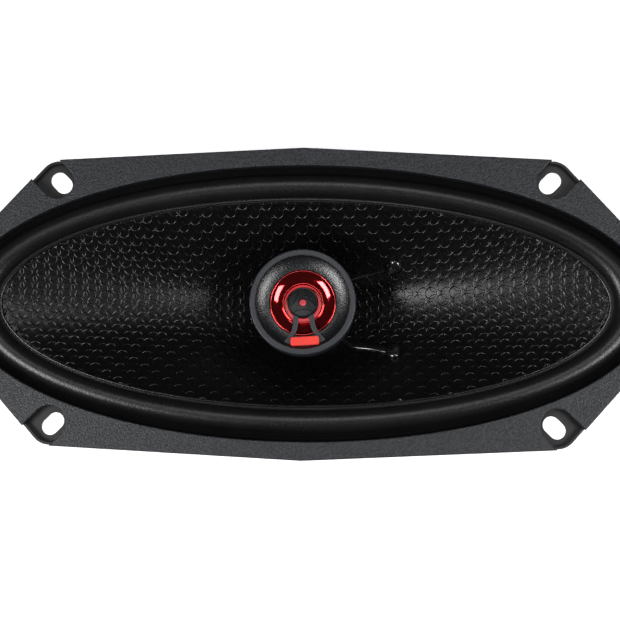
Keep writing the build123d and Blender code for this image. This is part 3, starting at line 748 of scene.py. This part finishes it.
def cap_height(x, y):
    """Top of the plug's cap: a raised three-armed star between sunken lobes, a little hollow."""
    radius = np.hypot(x, y)
    height = PLUG_TOP - CAP_HOLLOW * np.clip(1 - (radius / PLUG_RADIUS) ** 2, 0, 1)
    for axis in LOBE_AXES:
        angle = math.radians(axis) + PLUG_TURN
        from_centre = np.hypot(x - LOBE_CENTRE * math.cos(angle), y - LOBE_CENTRE * math.sin(angle))
        inside = np.minimum(LOBE_ARC - from_centre, LOBE_RIM - radius)
        height -= RELIEF_DEPTH * np.clip(inside / RELIEF_EDGE + 0.5, 0, 1)
    for drop, (start, end) in zip(CAP_BEVEL_DROPS, zip(CAP_BEVEL_RADII, CAP_BEVEL_RADII[1:])):
        height -= drop * np.clip((radius - start) / (end - start), 0, 1)
    return height - HOLE_BEVEL_DROP * np.clip((HOLE_BEVEL - radius) / (HOLE_BEVEL - PLUG_HOLE), 0, 1)


def plug_cap():
    """Plan mesh of the cap, cut along the relief's edges and its two bevels."""
    loops = []
    half = math.degrees(math.atan2(3.6, 5.2))
    beyond, aside = LOBE_CENTRE + 1.0, 5.0
    for offset in (-RELIEF_EDGE / 2, RELIEF_EDGE / 2):
        for axis in LOBE_AXES:
            lens = arc((LOBE_CENTRE, 0), LOBE_ARC - offset, 180 - half, 180 + half, 20)
            lens += [(beyond, -aside), (beyond, aside)]
            loops.append(turned(lens, math.radians(axis) + PLUG_TURN))
        loops.append(arc((0, 0), LOBE_RIM - offset, 0, 355, 71))
    near_rim = PLUG_RADIUS - 0.08
    circles = [(radius, 96) for radius in (*CAP_BEVEL_RADII, near_rim)]
    for radius, count in [*circles, (HOLE_BEVEL, 40), (PLUG_HOLE, 40)]:
        loops.append([(x, y) for x, y, _z in ellipse_loop((radius, radius), 0, count)])

    def inside(x, y):
        radius = np.hypot(x, y)
        return (radius < PLUG_RADIUS) & (radius > PLUG_HOLE)

    plan, triangles = plan_triangles(loops, inside)
    used = np.unique(triangles)
    order = np.zeros(len(plan), int)
    order[used] = np.arange(len(used))
    plan, triangles = plan[used], order[triangles]
    top = cap_height(plan[:, 0], plan[:, 1])
    return thick_plan(plan, triangles, top, np.full(len(plan), CAP_BOTTOM))


def leg_outline():
    """One half of the legs and their foot, from the cap round to the middle line."""
    outer = [(3.5, -3.6), (3.55, -5.5), (3.75, -7.2), (4.2, -8.9), (5.0, -10.4), (6.1, -11.8), (7.1, -12.7)]
    foot = arc((0, 0), FOOT_RADIUS, -65, -85, 4)
    inner = [(3.7, -11.3), (2.9, -10.1), (2.3, -8.6), (1.95, -7.0), (1.75, -5.5), (1.6, -4.4)]
    return outer + foot, inner


def plug_legs():
    """Plate with the two legs and the foot, as a plan mesh with softened edges."""
    outer, inner = leg_outline()
    ring = outer + [(0.0, -FOOT_RADIUS)] + [(-x, y) for x, y in reversed(outer)]
    ring += [(-x, y) for x, y in reversed(inner)] + inner
    ring = turned(ring, PLUG_TURN)
    return slab(ring, LEG_TOP, LEG_TOP - LEG_THICKNESS)


def slab(outline, top, bottom):
    """A flat plate of a closed plan outline, between two heights."""
    count = len(outline)
    points = [(x, y, top) for x, y in outline] + [(x, y, bottom) for x, y in outline]
    faces = [tuple(range(count)), tuple(reversed(range(count, 2 * count)))]
    faces += [(i, (i + 1) % count, (i + 1) % count + count, i + count) for i in range(count)]
    return points, faces


def soften(piece, width):
    """Rounds a piece's sharp edges by a width in millimetres."""
    bevel = piece.modifiers.new("soft_edges", "BEVEL")
    bevel.width = width * MM
    bevel.segments = 3
    bevel.limit_method = "ANGLE"
    bevel.angle_limit = math.radians(40)


def make_plug():
    """Cap and legs, which share the plug's slot; the legs match the bezel's grey."""
    cap = mesh_piece("plug_cap", *plug_cap(), "plug_plastic")
    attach(cap, "root")
    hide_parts("phase_plug")
    legs = mesh_piece("plug_legs", *plug_legs(), "plug_plastic")
    legs.data.materials[0] = MATERIALS["bezel_plastic"]
    soften(legs, 0.18)
    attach(legs, "root")


def make_badge():
    """Plain red bar on the foot, with rounded ends and no marking."""
    reach_x, reach_y = (size / 2 - BADGE_CORNER for size in BADGE_SIZE)
    outline = []
    for side_x, side_y, first in [(1, 1, 0), (-1, 1, 90), (-1, -1, 180), (1, -1, 270)]:
        centre = (side_x * reach_x, side_y * reach_y + BADGE_Y)
        outline += arc(centre, BADGE_CORNER, first, first + 90, 6)
    plate = slab(turned(outline, PLUG_TURN), LEG_TOP + BADGE_THICKNESS, LEG_TOP - 0.1)
    badge = mesh_piece("badge_bar", *plate, "badge_plastic")
    soften(badge, 0.2)
    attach(badge, "root")
    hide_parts("badge_plate")


# ================= eyelets, coil leads and cords =================

def make_eyelet(name, side, wide, tall):
    """Glossy bead of glue over the eyelet, uneven at its edge."""
    rings, count, skirt = 12, 64, 0.5
    loops = []
    for ring in range(rings + 1):
        share = ring / rings
        swell = math.sin(share * math.pi / 2)
        rise = math.cos(share * math.pi / 2) ** 0.85
        loop = []
        for step in range(count):
            angle = 2 * math.pi * step / count
            uneven = 1 + 0.10 * math.sin(2 * angle + side) + 0.06 * math.sin(3 * angle + 2.2 * side)
            x = EYELET_X + wide * swell * uneven * math.cos(angle)
            y = side * EYELET_Y + tall * swell * uneven * math.sin(angle)
            loop.append((x, y, face_height(x, y) - GLUE_DEPTH + EYELET_RISE * rise))
        loops.append(loop)
    loops.append([(x, y, z - skirt) for x, y, z in loops[-1]])
    loops.append([(EYELET_X, side * EYELET_Y, loops[-1][0][2])] * count)
    eyelet = mesh_piece("glue_" + name, *joined_loops(loops), "black_glue")
    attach(eyelet, "cone_assembly")
    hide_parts(name)


def glue_bed(route, side, half_wide, rise):
    """Half-round ridge of glue that hugs the cone along a route, as loops of points."""
    centre = line_points(smooth_line("bed_line", [(x, side * y, 0) for x, y in route]))
    loops = []
    for index, here in enumerate(centre):
        before, after = centre[max(index - 1, 0)], centre[min(index + 1, len(centre) - 1)]
        along = (after - before).normalized()
        share = index / (len(centre) - 1)
        swell = min(1.0, 5 * share + 0.35) * (1 + 0.07 * math.sin(7 * share))
        loop = []
        for offset, height in arc((0, 0), (half_wide * swell, rise * swell), 0, 180, 14):
            x = here.x / MM - along.y * offset
            y = here.y / MM + along.x * offset
            loop.append((x, y, face_height(x, y) + height - GLUE_DEPTH))
        loop += [(x, y, z - 0.35) for x, y, z in reversed(loop)]
        loops.append(loop)
    return loops


def capped_tube(loops):
    """Faces along a row of closed loops, with a face over each end."""
    count = len(loops[0])
    points, faces = joined_loops(loops)
    faces = faces[:-count]
    last = (len(loops) - 1) * count
    return points, faces + [tuple(range(count)), tuple(range(last, last + count))]


def make_coil_lead(name, side, half_wide, rise):
    """Voice coil wire bedded in a smooth ridge of glue, from the neck to the eyelet."""
    loops = glue_bed(COIL_LEAD_ROUTE, side, half_wide, rise)
    bed = mesh_piece("bed_" + name, *capped_tube(loops), "black_glue")
    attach(bed, "cone_assembly")
    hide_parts(name)


def board_point(along, across, out):
    """A point given from the terminal board's centre: along it, across it and away from it."""
    level, rise = math.cos(BOARD_SLOPE), math.sin(BOARD_SLOPE)
    return BOARD_ORIGIN + Vector((along * level + out * rise, -across, along * rise - out * level))


def tinsel_route(side):
    """From the back of the eyelet down, over in a loose loop and to its lug."""
    start = Vector((EYELET_X, side * EYELET_Y, face_height(EYELET_X, EYELET_Y) - EYELET_DROP))
    lug = board_point(0, -side * TERMINAL_Y, LUG_OUT)
    return [start, start + Vector((0, 0, -4.0)), start + Vector((6.0, -side * 0.6, -8.0)),
            start + Vector((14.0, -side * 1.4, -9.4)), start + Vector((22.0, -side * 2.6, -8.6)),
            lug + Vector((-5.0, side * 0.8, 3.2)), lug + Vector((-0.9, 0, 1.3))]


def plaited_tube(centre, radius, strands, pitch):
    """Loops of a cord laid up from strands; centre is in metres, sizes in millimetres."""
    across = Vector((0, 1, 0))
    run, loops = 0.0, []
    for index, here in enumerate(centre):
        before, after = centre[max(index - 1, 0)], centre[min(index + 1, len(centre) - 1)]
        along = (after - before).normalized()
        across = (across - along * across.dot(along)).normalized()
        other = along.cross(across)
        run += (here - centre[max(index - 1, 0)]).length / MM
        loop = []
        for step in range(TUBE_SIDES):
            angle = 2 * math.pi * step / TUBE_SIDES
            ridge = abs(math.cos(strands / 2 * (angle - 2 * math.pi * run / pitch)))
            size = radius * (1 - STRAND_RELIEF + STRAND_RELIEF * ridge)
            loop.append(here / MM + (across * math.cos(angle) + other * math.sin(angle)) * size)
        loops.append(loop)
    return loops


def make_tinsel_lead(name, side):
    """Laid-up tinsel that bends between the moving cone and the basket's board."""
    curve = smooth_line("tinsel_line", tinsel_route(side))
    curve.data.resolution_u = 26
    centre = line_points(curve)
    loops = plaited_tube(centre, TINSEL_DIAMETER / 2, strands=8, pitch=5.2)
    lead = mesh_piece("laid_" + name, *capped_tube(loops), "tinsel_braid")
    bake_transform(lead)
    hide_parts(name)


def make_wire(name, route, diameter, slot_name):
    """A plain insulated or bare wire along its route, both ends on the object."""
    wire = smooth_line("wire_" + name, route)
    wire.data.bevel_depth = diameter / 2 * MM
    wire.data.bevel_resolution = 5
    wire.data.use_fill_caps = True
    wire.data.materials.append(MATERIALS[slot_name])
    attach(wire, "root")
    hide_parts(name)


def make_cords():
    """The free cords on the CAD's routes; core_to_capacitor is too short to be one."""
    for name, side in [("tinsel_lead_upper", 1), ("tinsel_lead_lower", -1)]:
        make_tinsel_lead(name, side)
    low = LEAD_LOW_Z
    route = [(0, 0, low + 3.0), (0, 0, low), (3.0, 0.1, low), (14.0, -0.15, low), (27.0, 0.15, low),
             (LEAD_X - 3.3, -0.1, low), (LEAD_X, 0, low), (LEAD_X, 0.1, low + 3.3),
             (LEAD_X, -0.1, low + 11.0), (LEAD_X, 0, SLEEVE_TOP - 3.8)]
    make_wire("tweeter_lead", route, LEAD_DIAMETER, "wire_insulation")
    route = [(LEAD_X, 0.55, SLEEVE_TOP), (LEAD_X, 0.55, -47.2), (47.5, -2.2, -43.5)]
    route += [board_point(-12.0, TERMINAL_Y - 1.5, 6.5), board_point(-6.5, TERMINAL_Y, 2.9)]
    route += [board_point(-3.0, TERMINAL_Y, TERMINAL_OUT)]
    make_wire("core_to_terminal", route, WIRE_DIAMETER, "wire_insulation")
    half = CAPACITOR_LENGTH / 2
    route = [(CAPACITOR_X, half, CAPACITOR_Z), (CAPACITOR_X, half + 3.0, CAPACITOR_Z)]
    route += [(42.5, half + 5.6, -43.6), (49.0, half + 5.5, -40.0)]
    route += [board_point(-12.0, -TERMINAL_Y - 0.5, 6.0), board_point(-6.5, -TERMINAL_Y, 2.9)]
    route += [board_point(-3.0, -TERMINAL_Y, TERMINAL_OUT)]
    make_wire("capacitor_lead", route, WIRE_DIAMETER, "tinned_wire")


def make_glue():
    """The upper eyelet and lead have less glue than the lower ones."""
    make_eyelet("eyelet_upper", 1, wide=2.7, tall=2.8)
    make_eyelet("eyelet_lower", -1, wide=3.0, tall=2.7)
    make_coil_lead("coil_lead_upper", 1, half_wide=0.7, rise=0.5)
    make_coil_lead("coil_lead_lower", -1, half_wide=1.35, rise=1.2)


def main():
    make_cords()
    make_glue()
    make_cone()
    make_surround()
    make_spider()
    make_bezel()
    make_flare()
    make_plug()
    make_badge()


# ================= stage =================

def make_floor():
    """Lit white backdrop under the magnet boot."""
    low = CAD_BOX[0].z
    reach = 3.0
    mesh = bpy.data.meshes.new("floor")
    corners = [(-reach, -reach, low), (reach, -reach, low), (reach, reach, low), (-reach, reach, low)]
    mesh.from_pydata(corners, [], [(0, 1, 2, 3)])
    floor = bpy.data.objects.new("floor", mesh)
    bpy.context.scene.collection.objects.link(floor)
    material, tree, principled, place = new_shader("floor_paper")
    colour = mixed(tree, noise(tree, place, 90.0), (0.88, 0.88, 0.89), (0.91, 0.91, 0.92))
    tree.links.new(colour, principled.inputs["Base Color"])
    tree.links.new(colour, principled.inputs["Emission Color"])
    principled.inputs["Emission Strength"].default_value = 0.7
    principled.inputs["Roughness"].default_value = 0.9
    mesh.materials.append(material)


def soft_box(name, azimuth, elevation, distance, size, power):
    """Area light aimed at the speaker, in metres; angles in degrees, azimuth from +X to +Y."""
    turn, rise = math.radians(azimuth), math.radians(elevation)
    away = Vector((math.cos(turn) * math.cos(rise), math.sin(turn) * math.cos(rise), math.sin(rise)))
    data = bpy.data.lights.new(name, "AREA")
    data.shape = "RECTANGLE"
    data.size, data.size_y = size
    data.energy = power
    light = bpy.data.objects.new(name, data)
    light.location = away * distance
    light.rotation_euler = (-away).to_track_quat("-Z", "Y").to_euler()
    bpy.context.scene.collection.objects.link(light)


def make_lights():
    soft_box("soft_right", -13, 46, 0.75, (0.36, 0.27), 3.0)
    soft_box("soft_left", 203, 46, 0.75, (0.38, 0.27), 3.6)
    soft_box("overhead", 90, 74, 1.4, (0.5, 0.5), 2.3)
    world = bpy.data.worlds.new("studio")
    world.use_nodes = True
    background = world.node_tree.nodes["Background"]
    background.inputs["Color"].default_value = (1.0, 1.0, 1.0, 1.0)
    background.inputs["Strength"].default_value = 0.03
    bpy.context.scene.world = world
    bpy.context.scene.view_settings.view_transform = "Standard"


def make_camera():
    """Nearly straight above the front, tipped a little towards -Y."""
    pan, tilt, roll = (math.radians(angle) for angle in (2.15, 7.22, 0.55))
    back = Vector((math.sin(pan), -math.sin(tilt) * math.cos(pan), math.cos(tilt) * math.cos(pan)))
    level = Vector((math.cos(pan), 0, -math.sin(pan)))
    upright = back.cross(level)
    right = level * math.cos(roll) + upright * math.sin(roll)
    up = upright * math.cos(roll) - level * math.sin(roll)
    data = bpy.data.cameras.new("camera")
    data.sensor_width = 36.0
    data.lens = 66.82
    data.clip_start = 0.01
    camera = bpy.data.objects.new("camera", data)
    aim, distance = Vector((2.52, -2.88, 4.5)) * MM, 0.385
    location = aim + back * distance
    camera.matrix_world = Matrix.Translation(location) @ Matrix((right, up, back)).transposed().to_4x4()
    bpy.context.scene.collection.objects.link(camera)
    bpy.context.scene.camera = camera


MATERIALS = make_materials()
dress_cad_nodes(MATERIALS)
make_camera()
make_floor()
make_lights()
main()
